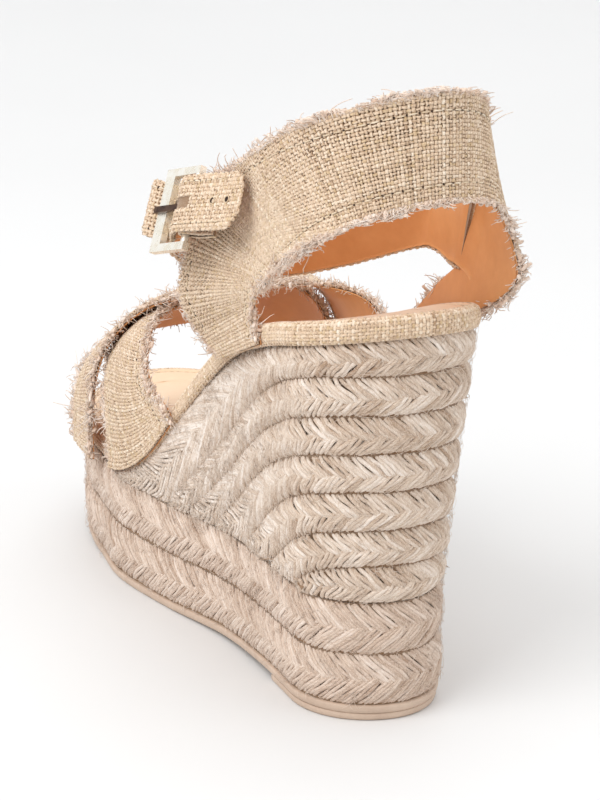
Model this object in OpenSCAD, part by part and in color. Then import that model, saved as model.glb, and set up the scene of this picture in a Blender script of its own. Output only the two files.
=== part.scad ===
// Left-foot espadrille wedge sandal: braided jute platform and wedge, frayed
// woven bands lined with leather, and an ankle strap closed by a small buckle.
// Millimetres. The origin is on the floor under the middle of the heel.
// +Y points to the toe, +X to the inner (medial) side of the foot, +Z up.

/* [Platform] */
// Height of the platform's top line under the heel
deck_heel = 38.2; // [37.6:0.1:38.8]
// Height of the platform's top line under the ball of the foot
deck_ball = 36.4; // [36:0.1:37]
// Thickness of the rubber outsole sheet
rubber_t = 2.8; // [2.4:0.1:3]
// Thickness of the extra rubber pad under the heel
pad_t = 2.4; // [2.2:0.1:2.6]
// Distance from the origin forward to the front step of the heel pad
pad_front = 12.7; // [10:0.1:15]
// Depth of every braid row, from its outer face to the core
braid_t = 5; // [4.6:0.1:5.4]

/* [Wedge] */
// Height of the wedge's top edge at the back of the heel
wedge_h = 124.7; // [123.5:0.1:126]
// Clearance left between neighbouring pieces
gap = 0.15; // [0.1:0.05:0.2]

/* [Footbed] */
// Thickness of the fibre insole board
board_t = 2; // [1.8:0.1:2.2]
// Thickness of the foam pad on the board
foam_t = 3; // [2.6:0.1:3.2]
// Thickness of the leather sock on the foam
sock_t = 0.9; // [0.8:0.1:1]
// Thickness of the fabric binding round the edge of the footbed
binding_t = 1.2; // [1:0.1:1.3]
// Width of the steel shank under the board
shank_w = 12; // [10:1:14]

/* [Bands and strap] */
// Thickness of the woven outer fabric
fabric_t = 1.5; // [1.3:0.1:1.6]
// Thickness of the leather lining
lining_t = 0.9; // [0.8:0.1:1]
// Width of the ankle strap
strap_w = 18; // [17:0.5:18.5]

/* [Buckle] */
// Length of the buckle frame along its bars
frame_l = 26.5; // [26:0.5:28]
// Distance from the hinge bar to the outer edge of the front bar
frame_d = 17; // [16:0.5:18]
// Thickness of the frame
frame_t = 2.2; // [2:0.1:2.4]
// Radius of the hinge bar
bar_r = 1.2; // [1.1:0.05:1.25]
// Radial clearance of the tab and of the prong on the hinge bar
bar_clear = 0.08; // [0.05:0.01:0.1]

/* [Hidden] */

// Half widths of the sole, without the braids' overhang, at stations along Y
side_y = [-14, 20, 50, 80, 110, 133];
sole_lateral = [25, 25, 27, 34.5, 40.3, 38.6];
sole_medial = [20.8, 20.6, 20.6, 27, 34.7, 36.4];
// Half widths of the footbed at the same stations
bed_lateral = [32.1, 31.5, 29.5, 34, 40.2, 38.8];
bed_medial = [26.6, 26, 25, 28, 35.4, 36.6];
// The braids overhang the outsole by this much
overhang = 1.4;
// Heel arc: centre and depth at the platform and at the footbed
heel_c = [-3, -13.6];
heel_a = [25.4, 26.2];
// Toe arc: centre and depth
toe_c = 133;
toe_a = 58;
// Path parameter where the heel arc ends and where the toe arc starts
s_heel = 0.2;
s_toe = 0.75;

// Underside of the sole along Y: level heel, raised waist, toe spring
under_y = [-30, 20, 85, 130, 191];
under_z = [pad_t, pad_t, 0, 0, 6];
// Profile that carries the footbed, from the heel down to the forefoot
seat_y = [-40, -5, 25, 45, 60, 75, 90, 103, 118, 192];
seat_h = [wedge_h, 115.5, 104.4, 94, 82, 66.5, 50, 41, 37.6, 38.4];

// Wedge rows: where each row's lower line lands on the platform, and how
// square its shoulder is
rows = 7;
land_y = [112, 80, 69, 55, 33, 14, -5];
shoulder = [1.8, 1.8, 1.8, 1.9, 2.1, 2.2, 3.2];

bed_t = board_t + foam_t + sock_t + 6*gap;
bed_off = -binding_t - 4*gap;

// ---------- curves ----------
function lerp(a, b, t) = a + (b - a)*t;
function clamp(v, lo, hi) = max(lo, min(hi, v));
function ramp(t) = let (c = clamp(t, 0, 1)) c*c*(3 - 2*c);
function unit(v) = v/norm(v);
function seg(xs, x, i = 0) = (i >= len(xs) - 2 || x < xs[i + 1]) ? i : seg(xs, x, i + 1);
function grad(xs, ys, i) = let (a = max(i - 1, 0), b = min(i + 1, len(xs) - 1))
    (ys[b] - ys[a])/(xs[b] - xs[a]);
// Smooth curve through the points (xs, ys); ys may be numbers or points
function spline(xs, ys, x) =
    let (i = seg(xs, x), h = xs[i + 1] - xs[i], t = (x - xs[i])/h)
    ys[i]*(2*t*t*t - 3*t*t + 1) + grad(xs, ys, i)*h*(t*t*t - 2*t*t + t)
    + ys[i + 1]*(3*t*t - 2*t*t*t) + grad(xs, ys, i + 1)*h*(t*t*t - t*t);

function under(y) = max(0, spline(under_y, under_z, y));
// Height of the platform's top line at y
function deck(y) = lerp(deck_heel, deck_ball, ramp(y/land_y[1]));
function seat(y) = spline(seat_y, seat_h, y);

// Half width at y on one side, w = 0 at the platform and 1 at the footbed
function half_w(side, y, w) = lerp(
    spline(side_y, side < 0 ? sole_lateral : sole_medial, y) + overhang,
    spline(side_y, side < 0 ? bed_lateral : bed_medial, y), w);

// Point [x, y] on the outer wall. s runs from the back of the heel (0) to the
// tip of the toe (1); off moves the wall outwards.
function wall(side, s, w, off = 0) =
    let (hc = lerp(heel_c[0], heel_c[1], w), ha = lerp(heel_a[0], heel_a[1], w))
    s < s_heel ?
        let (a = 90*s/s_heel)
        [side*(half_w(side, hc, w) + off)*sin(a), hc - (ha + off)*cos(a)]
    : s <= s_toe ?
        let (y = lerp(hc, toe_c, (s - s_heel)/(s_toe - s_heel)))
        [side*(half_w(side, y, w) + off), y]
    :
        let (a = 90*(s - s_toe)/(1 - s_toe))
        [side*(half_w(side, toe_c, w) + off)*cos(a), toe_c + (toe_a + off)*sin(a)];

// Path parameter at which the platform wall reaches y
function s_at(y) = y < heel_c[0] ? s_heel*acos((heel_c[0] - y)/heel_a[0])/90
    : s_heel + (s_toe - s_heel)*(y - heel_c[0])/(toe_c - heel_c[0]);

// ---------- lofting ----------
// Solid through rings of points; open lofts get end caps. Opposite sides of a
// ring are split along the same diagonals, so stacked layers stay clear.
module loft(rings, closed = false) {
    n = len(rings);
    m = len(rings[0]);
    last = closed ? n - 1 : n - 2;
    sides = [for (i = [0:last]) for (j = [0:m - 1])
        let (a = i*m + j, b = i*m + (j + 1)%m, c = ((i + 1)%n)*m + (j + 1)%m,
            d = ((i + 1)%n)*m + j)
        each (j < m/2 ? [[a, b, c], [a, c, d]] : [[a, b, d], [b, c, d]])];
    caps = closed ? [] : [for (j = [0:m/2 - 2]) let (e = (n - 1)*m)
        each [[m - 1 - j, m - 2 - j, j + 1, j], [e + j, e + j + 1, e + m - 2 - j, e + m - 1 - j]]];
    polyhedron([for (r = rings) each r], concat(sides, caps), convexity = 8);
}

function at_z(p, z) = [p[0], p[1], z];

// Flat layer of the sole between two heights, sections from heel to toe.
// lo and hi are lists of [w, off, z] for the stations ss.
module slab(ss, lo, hi) {
    loft([for (k = [0:len(ss) - 1]) let (s = ss[k], l = lo[k], h = hi[k]) [
        at_z(wall(-1, s, l[0], l[1]), l[2]), at_z(wall(1, s, l[0], l[1]), l[2]),
        at_z(wall(1, s, h[0], h[1]), h[2]), at_z(wall(-1, s, h[0], h[1]), h[2])]]);
}

function span(a, b, n) = [for (k = [0:n]) lerp(a, b, k/n)];
// Stations along a whole side, closer together round the heel and the toe
slab_s = concat(span(0.012, s_heel, 8), span(0.24, 0.71, 12), span(s_toe, 0.985, 8));
ring_s = concat(span(0, s_heel, 8), span(0.24, 0.71, 12), span(s_toe, 1, 8));
// The same stations all the way round: [side, s]
ring_path = concat([for (s = ring_s) [1, s]],
    [for (k = [len(ring_s) - 2:-1:1]) [-1, ring_s[k]]]);

// ---------- rubber ----------
module heel_pad() color([0.60, 0.52, 0.42]) {
    back = [for (s = span(0, s_at(pad_front), 14)) s];
    linear_extrude(pad_t - gap/3)
        polygon(concat([for (s = back) wall(1, s, 0, -overhang)],
            [for (k = [len(back) - 1:-1:1]) wall(-1, back[k], 0, -overhang)]));
}

module rubber_outsole() color([0.62, 0.54, 0.44])
    slab(slab_s,
        [for (s = slab_s) [0, -overhang, under(wall(1, s, 0)[1])]],
        [for (s = slab_s) [0, -0.6, under(wall(1, s, 0)[1]) + rubber_t]]);

// ---------- platform ----------
function sole_top(y) = under(y) + rubber_t;
function mid_line(y) = (sole_top(y) + deck(y))/2;

module platform_core() color([0.75, 0.62, 0.45])
    slab(slab_s,
        [for (s = slab_s) [0, -braid_t - 3*gap, sole_top(wall(1, s, 0)[1]) + gap]],
        [for (s = slab_s) [0, -braid_t - 3*gap, deck(wall(1, s, 0)[1]) - gap]]);

// Rounded cross-section of one braid row, from its lower to its upper line
round_in = 0.9;
function braid_ring(side, s, w0, w1, z0, z1, z_in = undef) =
    let (h = z1 - z0, r = min(round_in, h/3)) [
        at_z(wall(side, s, w0, -braid_t), z0 + gap/2),
        at_z(wall(side, s, w0, -r), z0 + gap/2),
        at_z(wall(side, s, lerp(w0, w1, 0.3)), z0 + 0.3*h),
        at_z(wall(side, s, lerp(w0, w1, 0.7)), z0 + 0.7*h),
        at_z(wall(side, s, w1, -r), z1 - gap/2),
        at_z(wall(side, s, w1, -braid_t), is_undef(z_in) ? z1 - gap/2 : z_in)];

module platform_row(upper) {
    loft([for (p = ring_path) let (y = wall(p[0], p[1], 0)[1]) braid_ring(p[0], p[1], 0, 0,
        upper ? mid_line(y) : sole_top(y) + gap, upper ? deck(y) : mid_line(y))],
        closed = true);
}

module platform_braid_lower() color([0.80, 0.68, 0.56]) platform_row(false);
module platform_braid_upper() color([0.80, 0.67, 0.55]) platform_row(true);

// ---------- wedge ----------
function height_share(z) = clamp((z - deck_heel)/(wedge_h - deck_heel), 0, 1);
function level(i) = deck_heel + (wedge_h - deck_heel)*(rows - i)/rows;
// Height of line i of the wedge at y; line 0 is the top edge
function line_z(i, y) = i == 0 ? seat(y)
    : i >= rows ? deck(y)
    : deck(y) + (level(i) - deck_heel)
        *(1 - pow(max(0, (y - seat_y[0])/(land_y[i] - seat_y[0])), shoulder[i]));
// The wall leans, so the height at a station is found by a few corrections
function line_at(i, s, w = 0.5, n = 4) =
    let (y = wall(1, s, w)[1], z = max(line_z(i, y), deck(y))) n == 0 ? z
    : line_at(i, s, height_share(z), n - 1);

module wedge_row(i) {
    s_end = s_at(land_y[i - 1] - 3);
    ss = span(0, s_end, 22);
    path = concat([for (k = [len(ss) - 1:-1:1]) [-1, ss[k]]], [for (s = ss) [1, s]]);
    // The first row's inner top corner follows the slope of the footbed
    loft([for (p = path) let (z0 = line_at(i, p[1]), z1 = line_at(i - 1, p[1]),
            w1 = height_share(z1), y_in = wall(1, p[1], w1, -braid_t)[1])
        braid_ring(p[0], p[1], height_share(z0), w1, z0 + gap, z1,
            i == 1 ? max(seat(y_in) - gap, z0 + 2*gap) : undef)]);
}

jute = [0.86, 0.78, 0.68];
module wedge_braid_1() color(jute) wedge_row(1);
module wedge_braid_2() color(jute) wedge_row(2);
module wedge_braid_3() color(jute) wedge_row(3);
module wedge_braid_4() color(jute) wedge_row(4);
module wedge_braid_5() color(jute) wedge_row(5);
module wedge_braid_6() color(jute) wedge_row(6);
module wedge_braid_7() color(jute) wedge_row(7);

shank_t = 1.2;
core_drop = shank_t + 3*gap;
module wedge_core() color([0.80, 0.66, 0.48]) {
    ss = concat(span(0.012, s_heel, 8), span(0.22, s_at(land_y[0] - 10), 18));
    off = -braid_t - 5*gap;
    slab(ss, [for (s = ss) [0, off, deck(wall(1, s, 0)[1]) + gap]],
        [for (s = ss) let (w = height_share(line_at(0, s)))
            [w, off, seat(wall(1, s, w, off)[1]) - core_drop]]);
}

// ---------- footbed ----------
// A layer between two heights above the seat, d0 and d1
module bed_layer(d0, d1, off) {
    slab(slab_s, [for (s = slab_s) [1, off, seat(wall(1, s, 1, off)[1]) + d0]],
        [for (s = slab_s) [1, off, seat(wall(1, s, 1, off)[1]) + d1]]);
}

board_z = 3*gap;
foam_z = board_z + board_t + gap;
sock_z = foam_z + foam_t + gap;
module insole_board() color([0.62, 0.48, 0.33]) bed_layer(board_z, board_z + board_t, bed_off);
module insole_foam() color([0.93, 0.90, 0.82]) bed_layer(foam_z, foam_z + foam_t, bed_off);
module sock_lining() color([0.91, 0.80, 0.67]) bed_layer(sock_z, sock_z + sock_t, bed_off);

module insole_binding() color([0.78, 0.69, 0.53])
    loft([for (p = ring_path)
        let (q = wall(p[0], p[1], 1), r = wall(p[0], p[1], 1, -binding_t), z = seat(q[1]))
        [at_z(r, z + gap), at_z(q, z + gap), at_z(q, z + bed_t), at_z(r, z + bed_t)]],
        closed = true);

shank_y = [0, 92];
module steel_shank() color([0.55, 0.56, 0.58])
    loft([for (y = span(shank_y[0], shank_y[1], 16)) let (z = seat(y) - core_drop + gap) [
        [-shank_w/2, y, z], [shank_w/2, y, z],
        [shank_w/2, y, z + shank_t], [-shank_w/2, y, z + shank_t]]]);

// ---------- bands ----------
// A band is a list of stations, each a row of points from its first edge to its
// second. It is skinned between two distances, t0 and t1, outside that surface.
function outward(band, i, k) =
    let (i0 = max(i - 1, 0), i1 = min(i + 1, len(band) - 1),
        k0 = max(k - 1, 0), k1 = min(k + 1, len(band[i]) - 1))
    unit(cross(unit(band[i1][k] - band[i0][k]), unit(band[i][k1] - band[i][k0])));
module band_skin(band, t0, t1) {
    m = len(band[0]);
    loft([for (i = [0:len(band) - 1]) concat(
        [for (k = [0:m - 1]) band[i][k] + outward(band, i, k)*t1],
        [for (k = [m - 1:-1:0]) band[i][k] + outward(band, i, k)*t0])]);
}
// Smooth band through a few driving stations
function smooth_band(keys, n) = let (ks = [for (i = [0:len(keys) - 1]) i])
    [for (t = span(0, len(keys) - 1, n))
        let (a = spline(ks, [for (k = keys) k[0]], t), b = spline(ks, [for (k = keys) k[1]], t))
        [a, (a + b)/2, b]];

cloth = [0.80, 0.70, 0.55];
leather = [0.86, 0.62, 0.38];
skin_in = -lining_t - gap/2;
skin_out = fabric_t;

// Vamp: the space over the forefoot is a boxy arch that narrows to the toe. Its
// inner side is squarer and higher, as the instep is.
crest_y = [45, 65, 85, 100, 120, 145, 165];
crest_z = [106, 103, 98, 95, 92, 76, 59];
arch_n = [3.4, 4]; // lateral, medial
lean = 0.1;
foot_rise = 0.4;
function arch(y, a, up) =
    let (side = a < 90 ? -1 : 1, n = arch_n[a < 90 ? 0 : 1], base = seat(y) + foot_rise,
        h = pow(sin(a), 2/n),
        w = half_w(side, min(y, toe_c), 1)*(y > toe_c ? sqrt(1 - pow((y - toe_c)/toe_a, 2)) : 1),
        x = side*(w + up)*pow(abs(cos(a)), 2/n))
    [x, y, base + (spline(crest_y, crest_z, y) + lean*x - base + up)*h];

// Edges of each vamp band: y at shares of the way from the lateral to the medial foot
edge_t = [0, 0.12, 0.25, 0.37, 0.6, 0.8, 1];
under_rear = [76, 91, 102, 113, 117, 111, 104];
under_front = [114, 124, 133, 141, 150, 153, 152];
over_rear = [126, 128, 127, 117, 84, 63, 54];
over_front = [148, 150, 150, 145, 127, 114, 108];
vamp_off = lining_t + 5*gap;
ply = lining_t + fabric_t + 8*gap;
vamp_n = 36;
vamp_across = 5;
function vamp_band(rear, front, lift) = [for (a = span(0, 180, vamp_n))
    let (t = a/180)
    [for (y = span(spline(edge_t, rear, t), spline(edge_t, front, t), vamp_across))
        arch(y, a, vamp_off + lift)]];
under_band = vamp_band(under_rear, under_front, 0);
over_band = vamp_band(over_rear, over_front, ply);

module vamp_band_under() color(cloth) band_skin(under_band, 0, skin_out);
module vamp_band_under_lining() color(leather) band_skin(under_band, skin_in, -gap/2);
module vamp_band_over() color(cloth) band_skin(over_band, 0, skin_out);
module vamp_band_over_lining() color(leather) band_skin(over_band, skin_in, -gap/2);

// Heel band: lateral foot, up and round the back of the ankle, medial foot.
// Each station is [rear or lower edge, front or upper edge].
heel_keys = [
    [[-33.4, 4, 113.2], [-31.6, 38, 99]],
    [[-33.4, 8, 124], [-35.5, 46, 105]],
    [[-33.6, 2, 132], [-41, 49, 119.5]],
    [[-33, -9, 140], [-31.5, 50, 148.5]],
    [[-32, -20, 147], [-32, 28, 161]],
    [[-28, -30, 154], [-31, -4, 178]],
    [[-17, -38, 161], [-22, -29, 190]],
    [[2, -42, 165], [2, -39.5, 196]],
    [[20, -38, 162], [21, -29, 190]],
    [[29, -34, 151], [28, -14, 175]],
    [[33, -32, 137], [31.5, -8, 156]],
    [[31.5, -21, 126.5], [31, -4, 138]],
    [[28.5, -9, 119.5], [29.5, 16, 121]],
    [[28.2, -5, 116.4], [27.4, 42, 97]]];
heel_path = smooth_band(heel_keys, 52);
module heel_band() color(cloth) band_skin(heel_path, 0, skin_out);
module heel_band_lining() color(leather) band_skin(heel_path, skin_in, -gap/2);

// ---------- buckle and ankle strap ----------
// The buckle has its own axes: u along the hinge bar, v forwards along the
// strap, n outwards. Its origin is the middle of the hinge bar.
bar_at = [-42.6, 36, 147.8];
bar_turn = [-18.5, 25.5, 5.9];
function turn_x(p, a) = [p[0], p[1]*cos(a) - p[2]*sin(a), p[1]*sin(a) + p[2]*cos(a)];
function turn_y(p, a) = [p[0]*cos(a) + p[2]*sin(a), p[1], p[2]*cos(a) - p[0]*sin(a)];
function turn_z(p, a) = [p[0]*cos(a) - p[1]*sin(a), p[0]*sin(a) + p[1]*cos(a), p[2]];
function on_bar(v, u, n) =
    bar_at + turn_z(turn_y(turn_x([-n, v, u], bar_turn[0]), bar_turn[1]), bar_turn[2]);
// Children are drawn with X inwards, Y along v and Z along u
module at_bar() translate(bar_at) rotate(bar_turn) children();

// Strap station by the buckle, in buckle axes; rise moves it along the bar
function strap_at(v, n, w = strap_w, rise = 0) =
    [on_bar(v, rise - w/2, n), on_bar(v, rise + w/2, n)];
end_v = -8;
end_n = 3;
strap_keys = concat([
    [[28.4, -7, 144], [27.6, -14, 161.5]],
    [[31.5, 9, 138], [29.5, 3, 155.5]],
    [[28, 29, 130], [28, 22, 147]],
    [[10, 44, 122], [10.5, 37, 139]],
    [[-12, 54, 117.5], [-11, 50, 135.5]],
    [[-30, 61, 119], [-27, 60, 137]]],
    [strap_at(26, -5, rise = 2.5), strap_at(25, -1, rise = 2.5),
     strap_at(21.5, -0.4, rise = 1.5), strap_at(17, -3.1, rise = 0.6), strap_at(12, -3.3),
     strap_at(5, 1.2), strap_at(0, 3.6), strap_at(end_v + gap, end_n)]);
strap_path = smooth_band(strap_keys, 60);
end_keys = [strap_at(end_v - gap, end_n), strap_at(-15, 2.2), strap_at(-21, 1.6),
    strap_at(-26, 1.3, strap_w - 2), strap_at(-29.5, 1.2, strap_w - 8)];
end_path = smooth_band(end_keys, 16);

// Slot in the strap through which the prong rises
slot_v = [-5, 9.5];
slot_w = 3.6;
module prong_slot() at_bar()
    translate([-10, slot_v[0], -slot_w/2]) cube([14, slot_v[1] - slot_v[0], slot_w]);

module ankle_strap() color(cloth) difference() {
    band_skin(strap_path, 0, skin_out);
    prong_slot();
}
module ankle_strap_lining() color(leather) difference() {
    band_skin(strap_path, skin_in, -gap/2);
    prong_slot();
}
module strap_end() color(cloth) band_skin(end_path, skin_in, skin_out);

loop_r = 2.3;
tab_w = 17;
tab_l = 11;
tab_n = [-4, -1.4];
module buckle_tab() color(cloth) at_bar() difference() {
    union() {
        translate([0, 0, -tab_w/2]) cylinder(r = loop_r, h = tab_w, $fn = 48);
        translate([-tab_n[1], -tab_l, -tab_w/2]) cube([tab_n[1] - tab_n[0], tab_l, tab_w]);
    }
    translate([0, 0, -tab_w]) cylinder(r = bar_r + bar_clear, h = 2*tab_w, $fn = 48);
    translate([-loop_r - 1, slot_v[0], -slot_w/2]) cube([12, 20, slot_w]);
}

rail_w = 2.5;
front_w = 5;
rail_end = bar_r + 0.2;
module buckle_frame() color([0.86, 0.80, 0.66]) at_bar() {
    translate([0, 0, -frame_l/2]) cylinder(r = bar_r, h = frame_l, $fn = 48);
    for (side = [-1, 1])
        translate([-frame_t/2, -rail_end, side*(frame_l - rail_w)/2 - rail_w/2])
            cube([frame_t, frame_d + rail_end, rail_w]);
    translate([-frame_t/2, frame_d - front_w, -frame_l/2]) cube([frame_t, front_w, frame_l]);
}

hub_w = 3;
arm_w = 2;
arm_t = 1.2;
module buckle_prong() color([0.82, 0.75, 0.60]) at_bar() difference() {
    union() {
        translate([0, 0, -hub_w/2]) cylinder(r = loop_r, h = hub_w, $fn = 48);
        translate([-frame_t/2 - gap - arm_t, 0, -arm_w/2]) cube([arm_t, frame_d + 0.6, arm_w]);
    }
    translate([0, 0, -hub_w]) cylinder(r = bar_r + bar_clear, h = 2*hub_w, $fn = 48);
}

heel_pad();
rubber_outsole();
platform_core();
platform_braid_lower();
platform_braid_upper();
wedge_core();
wedge_braid_1();
wedge_braid_2();
wedge_braid_3();
wedge_braid_4();
wedge_braid_5();
wedge_braid_6();
wedge_braid_7();
steel_shank();
insole_board();
insole_foam();
sock_lining();
insole_binding();
vamp_band_under();
vamp_band_under_lining();
vamp_band_over();
vamp_band_over_lining();
heel_band();
heel_band_lining();
ankle_strap();
ankle_strap_lining();
strap_end();
buckle_tab();
buckle_frame();
buckle_prong();
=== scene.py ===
"""Looks for the wedge sandal: plaited jute, frayed woven bands, leather and a small buckle.

Lengths are worked out in millimetres in the part's own frame (+Y to the toe, +X to the
inner side of the foot, +Z up) and turned into metres when a mesh is made.
"""
import math

import bpy
import numpy as np
from mathutils import Matrix, Vector


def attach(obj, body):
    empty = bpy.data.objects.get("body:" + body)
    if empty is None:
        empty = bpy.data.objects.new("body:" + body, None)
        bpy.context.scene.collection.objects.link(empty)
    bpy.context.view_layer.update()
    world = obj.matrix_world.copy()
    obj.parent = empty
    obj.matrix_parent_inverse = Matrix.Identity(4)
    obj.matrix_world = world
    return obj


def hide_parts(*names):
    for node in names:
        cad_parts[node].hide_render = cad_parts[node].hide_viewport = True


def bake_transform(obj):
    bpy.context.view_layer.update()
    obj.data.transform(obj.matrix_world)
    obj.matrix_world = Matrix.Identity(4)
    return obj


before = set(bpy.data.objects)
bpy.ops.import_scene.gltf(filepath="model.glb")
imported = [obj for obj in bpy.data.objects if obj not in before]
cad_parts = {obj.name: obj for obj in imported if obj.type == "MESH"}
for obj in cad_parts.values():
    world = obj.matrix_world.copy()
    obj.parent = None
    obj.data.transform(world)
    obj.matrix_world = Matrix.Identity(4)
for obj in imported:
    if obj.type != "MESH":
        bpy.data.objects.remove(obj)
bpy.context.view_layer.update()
MM = 0.001
rng = np.random.default_rng(38)

# ---------- driving numbers, the same as the CAD's ----------
DECK_HEEL, DECK_BALL = 38.2, 36.4
RUBBER_T, PAD_T, PAD_FRONT = 2.8, 2.4, 12.7
BRAID_T, GAP, WEDGE_H = 5.0, 0.15, 124.7
BOARD_T, FOAM_T, SOCK_T = 2.0, 3.0, 0.9
FABRIC_T, LINING_T, STRAP_W = 1.5, 0.9, 18.0

SIDE_Y = [-14, 20, 50, 80, 110, 133]
SOLE_LATERAL = [25, 25, 27, 34.5, 40.3, 38.6]
SOLE_MEDIAL = [20.8, 20.6, 20.6, 27, 34.7, 36.4]
BED_LATERAL = [32.1, 31.5, 29.5, 34, 40.2, 38.8]
BED_MEDIAL = [26.6, 26, 25, 28, 35.4, 36.6]
OVERHANG = 1.4
HEEL_C, HEEL_A = (-3, -13.6), (25.4, 26.2)
TOE_C, TOE_A = 133, 58
S_HEEL, S_TOE = 0.2, 0.75
UNDER_Y, UNDER_Z = [-30, 20, 85, 130, 191], [PAD_T, PAD_T, 0, 0, 6]
SEAT_Y = [-40, -5, 25, 45, 60, 75, 90, 103, 118, 192]
SEAT_H = [WEDGE_H, 115.5, 104.4, 94, 82, 66.5, 50, 41, 37.6, 38.4]
ROWS = 7
LAND_Y = [112, 80, 69, 55, 33, 14, -5]
SHOULDER = [1.8, 1.8, 1.8, 1.9, 2.1, 2.2, 3.2]
BED_H = BOARD_T + FOAM_T + SOCK_T + 6 * GAP


# ---------- curves ----------
def lerp(a, b, t):
    return a + (b - a) * t


def ramp(t):
    t = np.clip(t, 0, 1)
    return t * t * (3 - 2 * t)


def spline(xs, ys, x):
    """Smooth curve through the points (xs, ys); ys may be numbers or points."""
    xs, ys, x = np.asarray(xs, float), np.asarray(ys, float), np.asarray(x, float)
    n = len(xs)
    lo, hi = np.maximum(np.arange(n) - 1, 0), np.minimum(np.arange(n) + 1, n - 1)
    run = xs[hi] - xs[lo]
    slope = (ys[hi] - ys[lo]) / (run if ys.ndim == 1 else run[:, None])
    i = np.clip(np.searchsorted(xs, x, side="right") - 1, 0, n - 2)
    h = xs[i + 1] - xs[i]
    t = (x - xs[i]) / h
    if ys.ndim > 1:
        t, h = t[..., None], h[..., None]
    return (ys[i] * (2 * t**3 - 3 * t**2 + 1) + slope[i] * h * (t**3 - 2 * t**2 + t)
            + ys[i + 1] * (3 * t**2 - 2 * t**3) + slope[i + 1] * h * (t**3 - t**2))


def unit(v):
    return v / np.maximum(np.linalg.norm(v, axis=-1, keepdims=True), 1e-9)


def under(y):
    return np.maximum(0, spline(UNDER_Y, UNDER_Z, y))


def deck(y):
    return lerp(DECK_HEEL, DECK_BALL, ramp(np.asarray(y) / LAND_Y[1]))


def seat(y):
    return spline(SEAT_Y, SEAT_H, y)


def half_w(side, y, w):
    """Half width at y; w runs from 0 at the platform to 1 at the footbed."""
    side = np.asarray(side)
    sole = np.where(side < 0, spline(SIDE_Y, SOLE_LATERAL, y), spline(SIDE_Y, SOLE_MEDIAL, y))
    bed = np.where(side < 0, spline(SIDE_Y, BED_LATERAL, y), spline(SIDE_Y, BED_MEDIAL, y))
    return lerp(sole + OVERHANG, bed, w)


def wall(side, s, w, off=0.0):
    """(x, y) on the outer wall; s runs from the back of the heel to the toe tip."""
    side, s, w, off = np.broadcast_arrays(*[np.asarray(v, float) for v in (side, s, w, off)])
    hc, ha = lerp(HEEL_C[0], HEEL_C[1], w), lerp(HEEL_A[0], HEEL_A[1], w)
    a = np.radians(90 * s / S_HEEL)
    b = np.radians(90 * (s - S_TOE) / (1 - S_TOE))
    mid_y = lerp(hc, TOE_C, (s - S_HEEL) / (S_TOE - S_HEEL))
    heel, toe = s < S_HEEL, s > S_TOE
    y_ref = np.where(heel, hc, np.where(toe, TOE_C, mid_y))
    half = half_w(side, y_ref, w) + off
    x = side * half * np.where(heel, np.sin(a), np.where(toe, np.cos(b), 1.0))
    y = np.where(heel, hc - (ha + off) * np.cos(a),
                 np.where(toe, TOE_C + (TOE_A + off) * np.sin(b), mid_y))
    return x, y


def s_at(y):
    if y < HEEL_C[0]:
        return S_HEEL * math.degrees(math.acos((HEEL_C[0] - y) / HEEL_A[0])) / 90
    return S_HEEL + (S_TOE - S_HEEL) * (y - HEEL_C[0]) / (TOE_C - HEEL_C[0])


def stations(heel, middle, toe):
    """Values of s from the back of the heel to the toe tip, with so many in each stretch."""
    return np.concatenate([np.linspace(0, S_HEEL, heel), np.linspace(S_HEEL, S_TOE, middle)[1:],
                           np.linspace(S_TOE, 1, toe)[1:]])


def height_share(z):
    return np.clip((z - DECK_HEEL) / (WEDGE_H - DECK_HEEL), 0, 1)


def line_z(i, y):
    """Height at y of the line under the i-th braid; line 0 is the seat."""
    if i == 0:
        return seat(y)
    if i >= ROWS:
        return deck(y)
    level = DECK_HEEL + (WEDGE_H - DECK_HEEL) * (ROWS - i) / ROWS
    along = np.maximum(0, (y - SEAT_Y[0]) / (LAND_Y[i] - SEAT_Y[0]))
    return deck(y) + (level - DECK_HEEL) * (1 - along ** SHOULDER[i])


def line_at(i, s):
    """The same height at s. The wall leans, so its y and the height settle together."""
    w = np.full_like(np.asarray(s, float), 0.5)
    for _ in range(5):
        y = wall(1, s, w)[1]
        z = np.maximum(line_z(i, y), deck(y))
        w = height_share(z)
    return z


# ---------- surfaces that things are laid on ----------
class Sheet:
    """A curved surface given by a grid of points. u runs along it and v across it, in mm
    and from 0 to 1; n is the distance outwards. across is its width at every station."""

    def __init__(self, grid):
        self.p = np.asarray(grid, float)
        steps = np.linalg.norm(np.diff(self.p, axis=0), axis=2).mean(1)
        self.u = np.concatenate([[0], np.cumsum(steps)])
        self.length = self.u[-1]
        self.across = np.linalg.norm(np.diff(self.p, axis=1), axis=2).sum(1)
        self.normals = unit(np.cross(np.gradient(self.p, axis=0), np.gradient(self.p, axis=1)))

    def width(self, u):
        return np.interp(u, self.u, self.across)

    def mix(self, field, u, v):
        i = np.clip(np.searchsorted(self.u, u, side="right") - 1, 0, len(self.u) - 2)
        f = ((u - self.u[i]) / (self.u[i + 1] - self.u[i]))[..., None]
        cols = self.p.shape[1] - 1
        j = np.clip(np.floor(v * cols).astype(int), 0, cols - 1)
        g = (v * cols - j)[..., None]
        return ((field[i, j] * (1 - f) + field[i + 1, j] * f) * (1 - g)
                + (field[i, j + 1] * (1 - f) + field[i + 1, j + 1] * f) * g)

    def at(self, u, v, n=0.0):
        u, v, n = np.broadcast_arrays(*[np.asarray(x, float) for x in (u, v, n)])
        normal = self.normal(u, v)
        return self.mix(self.p, u, v) + normal * n[..., None]

    def normal(self, u, v):
        u, v = np.broadcast_arrays(np.asarray(u, float), np.asarray(v, float))
        return unit(self.mix(self.normals, u, np.clip(v, 0, 1)))


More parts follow.
